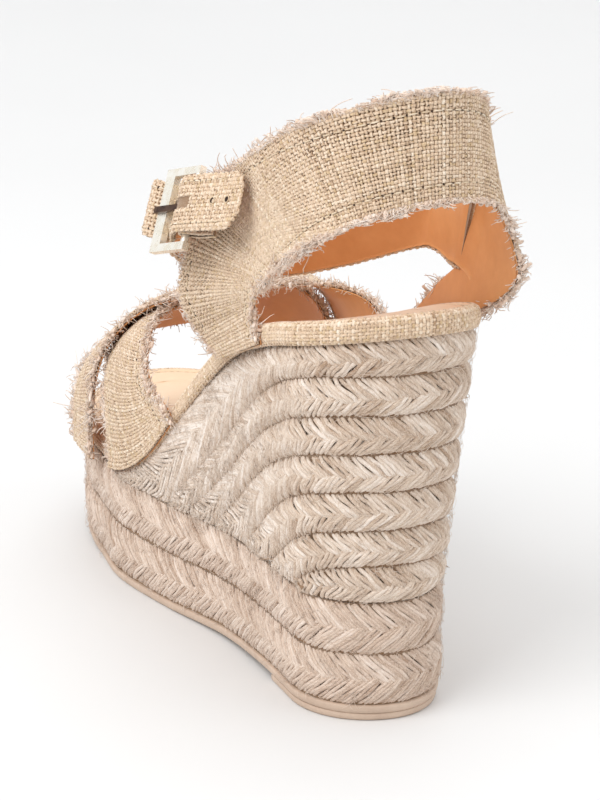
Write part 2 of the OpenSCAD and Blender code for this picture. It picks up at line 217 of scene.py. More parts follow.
# ---------- mesh making ----------
class Bag:
    """Collects points and faces with a place along each yarn, a tone and a material."""

    def __init__(self):
        self.co, self.grain, self.tone, self.faces, self.mats = [], [], [], [], []
        self.count = 0

    def add(self, co, faces, grain=None, tone=0.0, mat=0):
        co = np.asarray(co, float).reshape(-1, 3)
        self.co.append(co)
        self.grain.append(co if grain is None else np.asarray(grain, float).reshape(-1, 3))
        self.tone.append(np.broadcast_to(np.asarray(tone, float).ravel(), len(co)) if
                         np.size(tone) in (1, len(co)) else np.zeros(len(co)))
        for f in faces:
            f = np.asarray(f)
            if f.size:
                self.faces.append(f + self.count)
                self.mats.append(np.full(len(f), mat))
        self.count += len(co)

    def split(self, test):
        """Two bags: the faces whose centre passes the test, and the rest."""
        co, grain, tone = np.vstack(self.co), np.vstack(self.grain), np.concatenate(self.tone)
        bags = []
        for want in (True, False):
            bag = Bag()
            for f, m in zip(self.faces, self.mats):
                keep = test(co[f].mean(1)) == want
                if keep.any():
                    bag.faces.append(f[keep])
                    bag.mats.append(m[keep])
            used = np.zeros(len(co), bool)
            for f in bag.faces:
                used[f.ravel()] = True
            index = np.cumsum(used) - 1
            bag.faces = [index[f] for f in bag.faces]
            bag.co, bag.grain, bag.tone = [co[used]], [grain[used]], [tone[used]]
            bag.count = used.sum()
            bags.append(bag)
        return bags

    def build(self, name, materials):
        me = bpy.data.meshes.new(name)
        co = np.vstack(self.co) * MM
        sizes = np.concatenate([np.full(len(f), f.shape[1]) for f in self.faces])
        loops = np.concatenate([f.ravel() for f in self.faces])
        me.vertices.add(len(co))
        me.vertices.foreach_set("co", co.astype(np.float32).ravel())
        me.loops.add(len(loops))
        me.loops.foreach_set("vertex_index", loops.astype(np.int32))
        me.polygons.add(len(sizes))
        me.polygons.foreach_set("loop_start", np.concatenate([[0], np.cumsum(sizes)[:-1]])
                                .astype(np.int32))
        me.polygons.foreach_set("material_index", np.concatenate(self.mats).astype(np.int32))
        me.polygons.foreach_set("use_smooth", np.ones(len(sizes), bool))
        me.update(calc_edges=True)
        for label, kind, data in (("grain", "FLOAT_VECTOR", np.vstack(self.grain)),
                                  ("tone", "FLOAT", np.concatenate(self.tone))):
            layer = me.attributes.new(label, kind, "POINT")
            layer.data.foreach_set("vector" if kind == "FLOAT_VECTOR" else "value",
                                   data.astype(np.float32).ravel())
        ob = bpy.data.objects.new(name, me)
        bpy.context.scene.collection.objects.link(ob)
        for m in materials:
            me.materials.append(m)
        return ob


def place_piece(ob, slot, *nodes):
    """Fixes a piece to the shoe and hides the CAD nodes it stands for; slot is not used."""
    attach(ob, "sandal")
    if nodes:
        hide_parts(*nodes)


# Each yarn's number shifts its streaks, so that no two yarns look alike
yarn_count = 0


TWIST = 0.7


def add_tubes(bag, path, normal, wide, thick, sides=6, tone=0.0, mat=0, capped=True):
    """Closed tubes along path (N, S, 3), flattened towards normal, with half axes wide
    and thick that may change along the way."""
    global yarn_count
    path, normal = np.asarray(path, float), np.asarray(normal, float)
    n, s = path.shape[:2]
    if not n:
        return
    t = unit(np.gradient(path, axis=1))
    side = unit(np.cross(t, normal))
    up = np.cross(side, t)
    ang = 2 * np.pi * (np.arange(sides) + 0.5) / sides
    wide = np.broadcast_to(np.asarray(wide, float), (n, s))[..., None]
    thick = np.broadcast_to(np.asarray(thick, float), (n, s))[..., None]
    c, d = wide * np.cos(ang), thick * np.sin(ang)
    co = path[:, :, None] + side[:, :, None] * c[..., None] + up[:, :, None] * d[..., None]
    along = np.concatenate([np.zeros((n, 1)),
                            np.cumsum(np.linalg.norm(np.diff(path, axis=1), axis=2), axis=1)], 1)
    ids = yarn_count + np.arange(n)
    yarn_count += n
    spin = ang + TWIST * along[..., None]
    grain = np.stack([np.broadcast_to((along + 17.3 * ids[:, None])[..., None], c.shape),
                      wide * np.cos(spin), wide * np.sin(spin)], -1)
    tone = np.asarray(tone, float)
    if tone.ndim == 1:
        tone = tone[:, None]
    tone = np.broadcast_to(tone if tone.ndim else tone[None, None], (n, s))
    tone = np.repeat(tone.reshape(n, s, 1), sides, axis=2)
    base = (np.arange(n) * s * sides)[:, None, None]
    ring = (np.arange(s - 1) * sides)[None, :, None]
    k = np.arange(sides)[None, None, :]
    k2 = (k + 1) % sides
    quads = np.stack([base + ring + k, base + ring + sides + k, base + ring + sides + k2,
                      base + ring + k2], -1).reshape(-1, 4)
    faces = [quads]
    if capped:
        first = base[:, 0] + np.arange(sides)[None, :]
        last = base[:, 0] + (s - 1) * sides + np.arange(sides)[None, ::-1]
        faces += [first, last]
    bag.add(co, faces, grain, tone.ravel(), mat)


def grid_faces(rows, cols, wrap=False):
    i = np.arange(rows - (0 if wrap else 1))[:, None]
    j = np.arange(cols - 1)[None, :]
    i2 = (i + 1) % rows
    return np.stack([i * cols + j, i2 * cols + j, i2 * cols + j + 1, i * cols + j + 1],
                    -1).reshape(-1, 4)


def add_shell(bag, outer, inner, tone=0.0, mat=0):
    """Closed skin between two matching grids of points, outer facing outwards."""
    r, c = outer.shape[:2]
    q = grid_faces(r, c)
    m = r * c
    rim = np.concatenate([np.arange(c), np.arange(1, r) * c + c - 1,
                          (r - 1) * c + np.arange(c - 2, -1, -1), np.arange(r - 2, 0, -1) * c])
    rim2 = np.roll(rim, -1)
    edge = np.stack([rim, rim2, rim2 + m, rim + m], -1)
    co = np.concatenate([outer.reshape(-1, 3), inner.reshape(-1, 3)])
    bag.add(co, [q, q[:, ::-1] + m, edge[:, ::-1]], None, tone, mat)


# ---------- materials ----------
class Nodes:
    """Small helper that builds a node material."""

    def __init__(self, name):
        self.m = bpy.data.materials.new(name)
        self.m.use_nodes = True
        self.t = self.m.node_tree
        self.shader = self.t.nodes["Principled BSDF"] if "Principled BSDF" in self.t.nodes \
            else self.t.nodes.new("ShaderNodeBsdfPrincipled")

    def new(self, kind, inputs=None, **props):
        n = self.t.nodes.new(kind)
        for k, v in props.items():
            setattr(n, k, v)
        for k, v in (inputs or {}).items():
            self.set(n, k, v)
        return n

    def set(self, node, key, value):
        socket = node.inputs[key]
        if isinstance(value, bpy.types.NodeSocket):
            self.t.links.new(value, socket)
        else:
            socket.default_value = value

    def attribute(self, name):
        return self.new("ShaderNodeAttribute", attribute_name=name)

    def math(self, op, a, b=0.0):
        n = self.new("ShaderNodeMath", operation=op)
        self.set(n, 0, a)
        self.set(n, 1, b)
        return n.outputs[0]

    def scaled(self, vector, x, y, z):
        n = self.new("ShaderNodeVectorMath", operation="MULTIPLY")
        self.set(n, 0, vector)
        self.set(n, 1, (x, y, z))
        return n.outputs[0]

    def noise(self, vector, scale, detail=3.0):
        n = self.new("ShaderNodeTexNoise", {"Vector": vector, "Scale": scale, "Detail": detail,
                                            "Roughness": 0.6})
        return n.outputs["Fac"]

    def ramp(self, fac, stops):
        n = self.new("ShaderNodeValToRGB", {"Fac": fac})
        e = n.color_ramp.elements
        e[0].position, e[0].color = stops[0][0], (*stops[0][1], 1)
        e[1].position, e[1].color = stops[-1][0], (*stops[-1][1], 1)
        for pos, col in stops[1:-1]:
            e.new(pos).color = (*col, 1)
        return n.outputs["Color"]

    def mix(self, fac, a, b):
        n = self.new("ShaderNodeMix", data_type="RGBA", blend_type="MIX")
        self.set(n, 0, fac)
        self.set(n, 6, a if isinstance(a, bpy.types.NodeSocket) else (*a, 1))
        self.set(n, 7, b if isinstance(b, bpy.types.NodeSocket) else (*b, 1))
        return n.outputs[2]

    def bump(self, height, strength, distance):
        n = self.new("ShaderNodeBump", {"Height": height, "Strength": strength,
                                        "Distance": distance})
        return n.outputs["Normal"]

    def finish(self, **inputs):
        for k, v in inputs.items():
            self.set(self.shader, k.replace("_", " "), v)
        return self.m


def srgb(r, g, b):
    """Linear colour from 0 to 255 screen values."""
    return tuple(((c / 255 + 0.055) / 1.055) ** 2.4 if c > 10 else c / 3295 for c in (r, g, b))


def fibre_material(name, dark, mid, light, gold=None, streak=5.0, rough=0.85, sheen=0.25):
    """Yarn: streaks that run along every yarn, a tone per yarn, and fine fibre relief."""
    n = Nodes(name)
    grain, tone = n.attribute("grain").outputs["Vector"], n.attribute("tone").outputs["Fac"]
    fine = n.noise(n.scaled(grain, 0.35, streak, streak), 1.0, 3.0)
    slub = n.noise(n.scaled(grain, 0.16, 0.05, 0.05), 1.0, 2.0)
    level = n.math("ADD", n.math("MULTIPLY", tone, 0.2), n.math("ADD", n.math(
        "MULTIPLY", fine, 1.0), n.math("MULTIPLY", slub, 0.3)))
    level = n.math("SUBTRACT", level, 0.1)
    colour = n.ramp(level, [(0.28, dark), (0.56, mid), (0.82, light)])
    if gold is not None:
        pick = n.math("GREATER_THAN", n.noise(n.scaled(grain, 0.03, 0.02, 0.02), 7.0, 0.0), 0.6)
        colour = n.mix(n.math("MULTIPLY", pick, 0.45), colour, gold)
    relief = n.bump(fine, 0.6, 0.00025)
    return n.finish(Base_Color=colour, Roughness=rough, Normal=relief, Sheen_Weight=sheen,
                    Sheen_Roughness=0.5, Specular_IOR_Level=0.25)


def leather_material(name, dark, light, rough=0.5):
    n = Nodes(name)
    co = n.new("ShaderNodeTexCoord").outputs["Object"]
    cloud = n.noise(co, 45.0, 4.0)
    vor = n.new("ShaderNodeTexVoronoi", {"Vector": co, "Scale": 1400.0})
    crease = n.noise(n.scaled(co, 1.0, 2.2, 1.0), 260.0, 3.0)
    colour = n.ramp(n.math("ADD", n.math("MULTIPLY", cloud, 0.8),
                           n.math("MULTIPLY", crease, 0.2)), [(0.3, dark), (0.7, light)])
    height = n.math("ADD", n.math("MULTIPLY", vor.outputs["Distance"], 0.6), crease)
    roughness = n.math("ADD", n.math("MULTIPLY", crease, 0.18), rough - 0.09)
    return n.finish(Base_Color=colour, Roughness=roughness, Specular_IOR_Level=0.4,
                    Normal=n.bump(height, 0.35, 0.00012))


JUTE = fibre_material("jute_wedge", srgb(168, 138, 113), srgb(219, 199, 180), srgb(244, 233, 223))
JUTE_SOLE = fibre_material("jute_platform", srgb(168, 139, 117), srgb(217, 195, 177),
                           srgb(238, 222, 209))
CLOTH = fibre_material("band_cloth", srgb(160, 126, 94), srgb(234, 207, 178),
                       srgb(252, 240, 222), gold=srgb(206, 176, 128), streak=7.0)
FRAY = fibre_material("band_fray", srgb(206, 172, 146), srgb(240, 217, 198),
                      srgb(252, 240, 230), streak=9.0, sheen=0.4)
THREAD = fibre_material("sewing_thread", srgb(190, 160, 126), srgb(228, 206, 176),
                        srgb(246, 234, 214), streak=9.0, rough=0.6)
# Dark backing under the yarns: painted shade in the gaps between them
GAP_SHADE = fibre_material("yarn_gap_shade", srgb(112, 84, 60), srgb(146, 114, 84), srgb(206, 184, 162))
TAN = leather_material("lining_leather", srgb(208, 143, 88), srgb(228, 166, 112))
SOCK = leather_material("sock_leather", srgb(232, 200, 166), srgb(243, 216, 186), 0.45)


def rubber_material():
    n = Nodes("outsole_rubber")
    co = n.new("ShaderNodeTexCoord").outputs["Object"]
    speck = n.noise(co, 900.0, 2.0)
    cloud = n.noise(co, 60.0, 3.0)
    colour = n.ramp(n.math("ADD", n.math("MULTIPLY", cloud, 0.7), n.math(
        "MULTIPLY", speck, 0.3)), [(0.3, srgb(192, 167, 147)), (0.7, srgb(214, 191, 171))])
    return n.finish(Base_Color=colour, Roughness=0.55, Normal=n.bump(speck, 0.25, 0.0001))


def metal_material(name, dark, light, metallic):
    n = Nodes(name)
    co = n.new("ShaderNodeTexCoord").outputs["Object"]
    brushed = n.noise(n.scaled(co, 1.0, 1.0, 0.08), 2600.0, 2.0)
    wear = n.noise(co, 320.0, 3.0)
    colour = n.ramp(wear, [(0.35, dark), (0.65, light)])
    rough = n.math("ADD", n.math("MULTIPLY", wear, 0.16), 0.2)
    return n.finish(Base_Color=colour, Metallic=metallic, Roughness=rough,
                    Normal=n.bump(brushed, 0.03, 0.00002))


def plain_material(name, dark, light, scale, rough):
    n = Nodes(name)
    co = n.new("ShaderNodeTexCoord").outputs["Object"]
    speck = n.noise(co, scale, 4.0)
    return n.finish(Base_Color=n.ramp(speck, [(0.3, dark), (0.7, light)]), Roughness=rough,
                    Normal=n.bump(speck, 0.4, 0.0003))


RUBBER = rubber_material()
# Frame: pale metal whose colour is raised to near white, a painted highlight
PALE_METAL_HIGHLIGHT = metal_material("buckle_metal", srgb(244, 236, 218), srgb(255, 252, 244), 0.7)
# Prong: dark brown metal, a painted dark reflection and shade on the warm gold prong
PRONG_DARK_REFLECTION = metal_material("prong_painted_dark", srgb(70, 48, 40), srgb(104, 78, 62), 0.9)
# Dark fill of punched and needle holes: painted shade inside them
HOLE_SHADE = plain_material("punched_hole_shade", srgb(40, 26, 20), srgb(70, 48, 34), 500.0, 0.9)
HIDDEN = {
    "platform_core": plain_material("cork_low", srgb(150, 112, 76), srgb(196, 156, 112), 320, 0.9),
    "wedge_core": plain_material("cork_high", srgb(150, 112, 76), srgb(200, 160, 116), 320, 0.9),
    "steel_shank": plain_material("shank_steel", srgb(120, 122, 126), srgb(160, 162, 166), 90, 0.4),
    "insole_board": plain_material("fibre_board", srgb(120, 88, 58), srgb(156, 120, 84), 600, 0.9),
    "insole_foam": plain_material("foam", srgb(226, 214, 188), srgb(240, 230, 206), 900, 0.9),
}


# ---------- plaited jute ----------
def add_plait(bag, sheet, pitch, yarns, relief, depth, closed=False, front_share=None):
    """Flat plait on a sheet. Leaves of parallel yarns run in from both edges, cross the
    middle and dive under the next leaf from the other edge."""
    samples = 10
    t = np.linspace(0, 1, samples)
    reach = 0.68
    profile = np.interp(t, [0, 0.1, 0.25, 0.5, 0.72, 0.88, 1],
                        [-1.7, -0.7, 0.0, 0.5, 0.55, 0.0, -1.0])
    count = int(round(sheet.length / pitch))
    step = sheet.length / count
    paths, normals, wides, tones = [], [], [], []
    for edge in (1, -1):
        first = np.arange(count) if closed else np.arange(-1, count)
        for k in first:
            lead = (k + (0.0 if edge > 0 else 0.5)) * step + rng.normal(0, 0.03) * step
            lift, shade = rng.normal(0, 0.12), rng.normal(0, 0.18)
            far = 0.0 if front_share is None else float(front_share(np.clip(lead, 0, sheet.length)))
            slant = lerp(1.15, 2.6, far)
            for q in range(yarns):
                spread = (q - (yarns - 1) / 2) * step / yarns * 0.99
                local = np.clip(lead + spread, 0, sheet.length)
                height = sheet.width(np.asarray(local))
                squeeze = 1 - 0.35 * ramp((t - 0.6) / 0.4)
                u = lead + spread * squeeze + slant * reach * height * t**0.92
                h = 1.0 - reach * t + 0.02
                v = h if edge > 0 else 1 - h
                if closed:
                    u = np.mod(u, sheet.length)
                elif u[0] < 0 or u[-1] > sheet.length or height < 2.2:
                    over = (u < 0) | (u > sheet.length)
                    if over.all() or height < 2.2:
                        continue
                    u = np.clip(u, 0, sheet.length)
                crown = 0.22 * (1 - abs(q - (yarns - 1) / 2) / max((yarns - 1) / 2, 1))
                scale = relief * min(1.0, float(height) / 9) * lerp(1, 0.6, far)
                n = (profile + lift + crown) * scale - depth
                n = np.where(t < 0.12, n - 0.3, n)
                sway = np.sin(t * rng.uniform(4, 11) + rng.uniform(0, 6)) * step / yarns
                u = np.clip(u + 0.22 * sway, 0, sheet.length)
                n = n + 0.12 * np.sin(t * rng.uniform(6, 14) + rng.uniform(0, 6))
                paths.append(sheet.at(u, v, n))
                normals.append(sheet.normal(u, v))
                girth = step / yarns * 0.5 * math.sin(math.atan(1 / slant)) * lerp(1.2, 1.8, far)
                wides.append(np.full(samples, girth * rng.uniform(0.9, 1.14)))
                # Towards the front the yarns are painted paler: painted light where the key lamp
                # washes out the braid
                tones.append(shade + rng.normal(0, 0.35) + 0.7 * far)
    wides = np.array(wides)
    wides[:, 0] *= 0.8
    wides[:, -2] *= 0.9
    wides[:, -1] *= 0.7
    add_tubes(bag, np.array(paths), np.array(normals), wides, wides * 0.88, 7, np.array(tones))


def add_shade_backing(bag, sheet, depth, thick, rows=200, cols=8, front_share=None):
    """Solid dark band under the yarns, painted shade that shows in every gap, so that no gap looks
    into the core.
    """
    u = np.linspace(0, sheet.length, rows)[:, None]
    v = np.linspace(0.0, 1.0, cols)[None, :]
    # Towards the front the dark backing is painted paler too, as painted light
    tone = 0.0 if front_share is None else np.tile(np.repeat(2.6 * front_share(u.ravel()), cols), 2)
    add_shell(bag, sheet.at(u, v, -depth), sheet.at(u, v, -thick), tone, 1)


def add_fuzz(bag, sheet, per_mm, length, front_share=None):
    """Loose fibres that stand off the surface, most of them towards the front."""
    n = int(sheet.length * per_mm)
    u0, v0 = rng.uniform(0, sheet.length, n), rng.uniform(0.02, 0.98, n)
    if front_share is not None:
        keep = rng.uniform(0, 1, n) < 0.35 + 0.65 * front_share(u0)
        u0, v0 = u0[keep], v0[keep]
        n = len(u0)
    size = rng.uniform(0.5, 1.3, n) * length
    ang = rng.uniform(0, 2 * np.pi, n)
    base = sheet.at(u0, v0, 0.1)
    ahead = unit(sheet.at(np.clip(u0 + 1, 0, sheet.length), v0) - sheet.at(
        np.clip(u0 - 1, 0, sheet.length), v0))
    normal = sheet.normal(u0, v0)
    cross = np.cross(normal, ahead)
    head = ahead * np.cos(ang)[:, None] + cross * np.sin(ang)[:, None]
    curl = cross * rng.normal(0, 0.5, n)[:, None] + ahead * rng.normal(0, 0.5, n)[:, None]
    rise = rng.uniform(0.1, 1.0, n)[:, None] * 0.35
    t = np.linspace(0, 1, 5)[None, :, None]
    path = (base[:, None] + head[:, None] * t * size[:, None, None]
            + normal[:, None] * (rise[:, None] * size[:, None, None]) * np.sin(t * 2.6)
            + curl[:, None] * t**2 * size[:, None, None] * 0.6)
    path[..., 2] = np.maximum(path[..., 2], 0.4)
    radius = np.linspace(0.085, 0.04, 5)[None, :]
    add_tubes(bag, path, np.repeat(normal[:, None], 5, 1), radius, radius, 3, 0.4)


def jute_row_sheet(i):
    """Surface of the i-th braid, laid out flat first so that its sections are square to it."""
    s_end = s_at(LAND_Y[i - 1] - 3)
    s = np.linspace(0, s_end, 400)
    x, y = wall(1.0, s, 0.5)
    run = np.concatenate([[0], np.cumsum(np.hypot(np.diff(x), np.diff(y)))])
    low, high = line_at(i, s), line_at(i - 1, s)
    length = np.linspace(-run[-1], run[-1], 240)
    mid = np.interp(np.abs(length), run, (low + high) / 2)
    slope = np.gradient(mid, length)
    slope = np.convolve(np.pad(slope, 4, "edge"), np.ones(9) / 9, "valid")
    steep = np.sqrt(1 + slope**2)
    ends = []
    for line in (low, high):
        t = np.zeros_like(mid)
        for _ in range(8):
            at_l = np.abs(length - t * slope / steep)
            t = t + (np.interp(at_l, run, line) - mid - t / steep) / steep
        ends.append((length - t * slope / steep, mid + t / steep))
    h = np.linspace(0, 1, 9)[None, :]
    (l0, z0), (l1, z1) = [(l[:, None], z[:, None]) for l, z in ends]
    length, z = lerp(l0, l1, h), lerp(z0, z1, h)
    w = lerp(height_share(z0), height_share(z1), h)
    x, y = wall(np.where(length < 0, -1.0, 1.0), np.interp(np.abs(length), run, s), w, -0.25)
    return Sheet(np.stack([x, y, z], -1))


def platform_sheet(upper):
    s = stations(40, 90, 60)
    s = np.concatenate([s[:0:-1], s])
    side = np.concatenate([-np.ones(len(s) // 2), np.ones(len(s) - len(s) // 2)])
    x, y = wall(side, s, 0.0, -0.25)
    sole = under(y) + RUBBER_T
    mid = (sole + deck(y)) / 2
    z0, z1 = (mid, deck(y)) if upper else (sole + GAP, mid)
    h = np.linspace(0, 1, 7)
    return Sheet(np.stack([np.repeat(x[:, None], 7, 1), np.repeat(y[:, None], 7, 1),
                           z0[:, None] + (z1 - z0)[:, None] * h], -1))


def towards_front(sheet):
    """0 at the heel, 1 at the front, where the jute is flatter and fuzzier and is painted paler, as
    painted light from the key lamp.
    """
    y = sheet.p[:, 4, 1]
    return lambda u: np.interp(np.interp(u, sheet.u, y), [-5, 60], [0, 1])


for i in range(1, ROWS + 1):
    bag = Bag()
    sheet = jute_row_sheet(i)
    add_plait(bag, sheet, 6.7, 4, 1.15, 0.6, front_share=towards_front(sheet))
    add_shade_backing(bag, sheet, 1.3, BRAID_T, front_share=towards_front(sheet))
    add_fuzz(bag, sheet, 9.0, 3.0, front_share=towards_front(sheet))
    place_piece(bag.build(f"jute_row_{i}", [JUTE, GAP_SHADE]), "jute_wedge", f"wedge_braid_{i}")

for label, upper in (("lower", False), ("upper", True)):
    bag = Bag()
    sheet = platform_sheet(upper)
    add_plait(bag, sheet, 6.2, 4, 0.8, 0.5, closed=True)
    add_shade_backing(bag, sheet, 1.1, BRAID_T, 260)
    add_fuzz(bag, sheet, 5.0, 3.0)
    place_piece(bag.build(f"jute_platform_{label}", [JUTE_SOLE, GAP_SHADE]), "jute_platform",
                f"platform_braid_{label}")


# ---------- woven cloth ----------
def add_weave(bag, sheet, pitch, base=0.75, wave=0.37, margin=0.0, bare=None, groove=None,
              wrap=None):
    """Plain weave of thick, uneven yarns. bare(u, v_mm) says where there is no cloth,
    groove gives distances from both edges at which stitching pulls the cloth down, and
    wrap is the radius at which the cloth folds round its edges."""
    length, widest = sheet.length, sheet.across.max()

    def place(u, x, n):
        """x is the distance from the middle line in mm."""
        half = sheet.width(u) / 2
        if groove:
            for g in groove:
                n = n - 0.45 * np.exp(-((half - np.abs(x) - g) / 0.75) ** 2)
        if wrap:
            # Folded edge: beyond the flat part the yarns turn round a centre line
            start, middle = half - wrap, 0.3
            bend = np.clip((np.abs(x) - start) / (wrap - 0.25), 0, None)
            r = n - middle
            x, n = (np.where(bend > 0, np.sign(x) * (start + r * np.sin(bend)), x),
                    np.where(bend > 0, middle + r * np.cos(bend), n))
        return sheet.at(u, 0.5 + x / (2 * half), n), sheet.normal(u, 0.5 + np.clip(
            x, -half, half) / (2 * half))

    warps = int(widest / pitch) + 3
    wefts = int(length / pitch)
    step = length / wefts
    over = (wrap - 0.25) * 0.85 * math.pi - wrap if wrap else margin
    warp_x = (np.arange(warps) - (warps - 1) / 2) * pitch + rng.normal(0, 0.05, warps)
    warp_tone, weft_tone = rng.normal(0, 0.25, warps), rng.normal(0, 0.28, wefts)
    warp_fat, weft_fat = rng.uniform(0.84, 1.16, warps), rng.uniform(0.84, 1.16, wefts)
    cells = np.arange(wefts)
    pos = np.stack([cells + 0.26, cells + 0.74], -1).ravel() * step
    for j in range(warps):
        rise = wave * np.where((cells + j) % 2 == 0, 1, -1)
        rise = np.repeat(rise, 2) + rng.normal(0, 0.03, 2 * wefts)
        half = sheet.width(pos) / 2
        keep = np.abs(warp_x[j]) < half + over - 0.2
        if bare is not None:
            keep &= ~bare(pos, np.full_like(pos, warp_x[j]))
        for run in runs(keep, 3):
            x = np.full(len(run), warp_x[j]) + rng.normal(0, 0.07, len(run))
            p, q = place(pos[run], x, base + rise[run])
            fat = pitch * 0.45 * warp_fat[j] * slubs(len(run))
            add_tubes(bag, p[None], q[None], fat, fat * 0.6, 4, warp_tone[j])
    for i in range(wefts):
        u = (i + 0.5) * step
        half = float(sheet.width(np.asarray(u))) / 2
        inside = np.abs(warp_x) < half + over
        cols = np.nonzero(inside)[0]
        if len(cols) < 2:
            continue
        x = np.stack([warp_x[cols] - 0.24 * pitch, warp_x[cols] + 0.24 * pitch], -1).ravel()
        rise = wave * np.repeat(np.where((cols + i) % 2 == 0, -1, 1), 2)
        keep = np.ones(len(x), bool)
        if bare is not None:
            keep &= ~bare(np.full_like(x, u), x)
        for run in runs(keep, 3):
            uu = np.full(len(run), u) + rng.normal(0, 0.06, len(run))
            p, q = place(uu, x[run], base + rise[run] + rng.normal(0, 0.03, len(run)))
            fat = step * 0.45 * weft_fat[i] * slubs(len(run))
            add_tubes(bag, p[None], q[None], fat, fat * 0.6, 4, weft_tone[i])


def slubs(n):
    """Thick and thin places along a hand-spun yarn."""
    return 1 + 0.16 * np.interp(np.arange(n), np.arange(0, n + 8, 4), rng.normal(
        0, 1, len(range(0, n + 8, 4))))[None, :]


def runs(keep, least):
    """Index ranges of at least that many neighbours that are kept."""
    idx = np.nonzero(keep)[0]
    if not len(idx):
        return []
    parts = np.split(idx, np.nonzero(np.diff(idx) > 1)[0] + 1)
    return [p for p in parts if len(p) >= least]


def add_fray(bag, sheet, edge, pitch, length, u0, u1):
    """Frayed edge: every cross yarn ends in a soft tuft with loose fibres round it."""
    tufts = int((u1 - u0) / pitch)
    u = np.clip(np.linspace(u0, u1, tufts) + rng.normal(0, 0.25, tufts), 0.3, sheet.length - 0.3)
    v = np.full(tufts, 1.0 if edge > 0 else 0.0)
    start = sheet.at(u, v - edge * 1.1 / sheet.width(u), 0.55)
    out = unit(sheet.at(u, v) - sheet.at(u, v - edge * 0.1))
    normal = sheet.normal(u, v)
    ahead = np.cross(out, normal)
    # Neighbouring tufts lean together, so the edge looks combed in places
    drift = np.interp(u, np.linspace(0, sheet.length, 40), rng.normal(0, 0.45, 40))
    long = np.interp(u, np.linspace(0, sheet.length, 50), rng.uniform(0.65, 1.2, 50))

    def scatter(sd, base=0.0):
        return (base + rng.normal(0, sd, tufts))[:, None]

    head = unit(out + ahead * (drift[:, None] + scatter(0.35)) + normal * scatter(0.3, 0.15))
    size = length * long * rng.uniform(0.75, 1.2, tufts)
    shade = rng.normal(0.1, 0.4, tufts)

    def strands(root, way, reach, thick, curl, wobble, sides, samples, tone, tip=0.5):
        t = np.linspace(0, 1, samples)[None, :, None]
        swing = np.sin(t * rng.uniform(3, 8, tufts)[:, None, None]
                       + rng.uniform(0, 6, tufts)[:, None, None])
        # Strands curl back on themselves, so a tuft ends in a soft knot, not in a spike
        path = root[:, None] + reach[:, None, None] * (
            way[:, None] * np.sin(t * 1.75) / 1.1 + curl[:, None] * t**2
            + (ahead[:, None] * 0.6 + normal[:, None] * 0.5) * swing * wobble * t)
        radius = thick * np.linspace(1, tip, samples)[None, :]
        up = np.repeat(unit(np.cross(way, ahead + 0.2 * normal))[:, None], samples, 1)
        add_tubes(bag, path, up, radius, radius, sides, tone)

    strands(start, head, size * 0.78, 0.62, ahead * scatter(0.45) + normal * scatter(0.35), 0.25,
            6, 7, shade, 0.8)
    for _ in range(9):
        way = unit(head + ahead * scatter(0.55) + normal * scatter(0.4, 0.05))
        root = start + ahead * rng.uniform(-0.7, 0.7, tufts)[:, None] \
            + normal * rng.uniform(-0.4, 0.5, tufts)[:, None]
        strands(root, way, size * rng.uniform(0.5, 1.0, tufts), 0.24,
                ahead * scatter(0.7) + normal * scatter(0.55), 0.45, 3, 7,
                shade + rng.normal(0.1, 0.3, tufts))


def add_stitches(bag, sheet, inset, edge, n, u0=3.0, u1=None, length=2.3, gap=0.9, mat=1,
                 hole=2):
    """Row of machine stitches a fixed distance inside one edge, with needle holes painted dark as
    shade.
    """
    u1 = sheet.length - 3.0 if u1 is None else u1
    count = int((u1 - u0) / (length + gap))
    mid = u0 + (np.arange(count) + 0.5) * (u1 - u0) / count
    t = np.linspace(-0.5, 0.5, 6)[None, :]
    u = mid[:, None] + t * length
    v = (1 - inset / sheet.width(u)) if edge > 0 else inset / sheet.width(u)
    arc = n + 0.16 * np.cos(t * math.pi) * np.ones_like(u)
    path, normal = sheet.at(u, v, arc), sheet.normal(u, v)
    radius = 0.27 * np.array([0.5, 0.9, 1, 1, 0.9, 0.5])[None, :]
    add_tubes(bag, path, normal, radius, radius, 6, rng.normal(0.2, 0.3, count), mat)
    # Needle holes: short dark tubes, painted shade
    uh = mid[:-1] + (u1 - u0) / count / 2
    vh = (1 - inset / sheet.width(uh)) if edge > 0 else inset / sheet.width(uh)
    base = sheet.at(uh, vh, n - 0.25)
    nn = sheet.normal(uh, vh)
    drop = np.stack([base, base + nn * 0.2], 1)
    spin = unit(sheet.at(uh + 0.5, vh) - sheet.at(uh - 0.5, vh))
    add_tubes(bag, drop, np.repeat(spin[:, None], 2, 1), 0.34, 0.34, 6, 0.0, hole)


def add_lining(name, sheet, node):
    """Thin leather sheet behind the cloth, with soft rolled edges."""
    bag = Bag()
    rows = max(60, int(sheet.length / 1.6))
    u = np.linspace(0, sheet.length, rows)[:, None]
    v = (0.5 - 0.5 * np.cos(np.linspace(0, np.pi, 14)))[None, :]
    wob = 0.05 * np.sin(u * 0.31) * np.cos(v * 7 + u * 0.13)
    edge = 0.18 * (1 - np.clip(np.minimum(v, 1 - v) * sheet.width(u) / 0.5, 0, 1))
    outer = sheet.at(u, v, -0.1 - edge * 0.5)
    inner = sheet.at(u, v, -LINING_T + wob + edge)
    add_shell(bag, outer, inner)
    place_piece(bag.build(name, [TAN]), "lining_leather", node)


def band_sheet(keys, steps=220, cols=9):
    keys = np.asarray(keys, float)
    t = np.linspace(0, len(keys) - 1, steps)
    a = spline(np.arange(len(keys)), keys[:, 0], t)
    b = spline(np.arange(len(keys)), keys[:, 1], t)
    v = np.linspace(0, 1, cols)[None, :, None]
    return Sheet(a[:, None] * (1 - v) + b[:, None] * v)


CREST_Y, CREST_Z = [45, 65, 85, 100, 120, 145, 165], [106, 103, 98, 95, 92, 76, 59]
ARCH_LATERAL, ARCH_MEDIAL, LEAN, FOOT_RISE = 3.4, 4.0, 0.1, 0.4
EDGE_T = [0, 0.12, 0.25, 0.37, 0.6, 0.8, 1]


